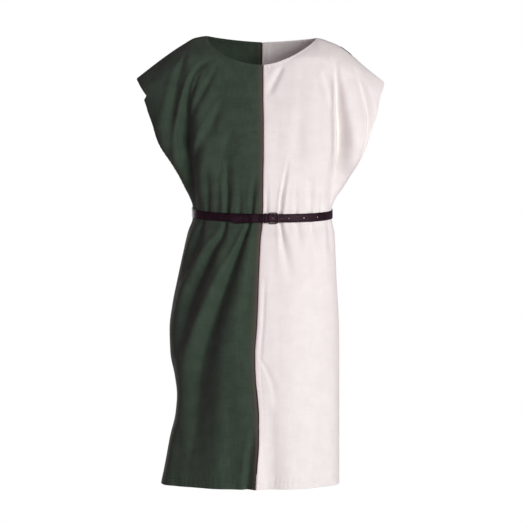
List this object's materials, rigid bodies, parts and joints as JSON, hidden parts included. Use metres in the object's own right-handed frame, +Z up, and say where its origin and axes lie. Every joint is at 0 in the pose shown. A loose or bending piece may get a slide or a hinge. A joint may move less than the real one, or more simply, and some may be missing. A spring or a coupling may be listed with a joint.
{
  "type": "belted tabard",
  "caption": "Two-colour sleeveless tabard on a hollow worn form, knee length, with a wide round neck, open armholes, a front slit and a slim leather belt with a buckle.",
  "frame": {"origin": "midway between the two neck points, on the line of the shoulder seams, where the wearer's shoulders carry the cloth", "axes": "+Z up, the front faces -Y, and the green half is at -X"},
  "size_m": [0.6248, 0.3185, 1.116],
  "materials": {
    "green_cloth": "matt woven cotton, dark green",
    "natural_cloth": "matt woven cotton, off-white",
    "belt_leather": "smooth dark brown leather, soft sheen",
    "buckle_metal": "dark lacquered metal"
  },
  "bodies": {
    "root": {"front_green": "green_cloth", "back_green": "green_cloth", "front_natural": "natural_cloth", "back_natural": "natural_cloth", "belt_strap": "belt_leather", "belt_keeper": "belt_leather", "buckle_frame": "buckle_metal", "buckle_prong": "buckle_metal"}
  },
  "joints": []
}
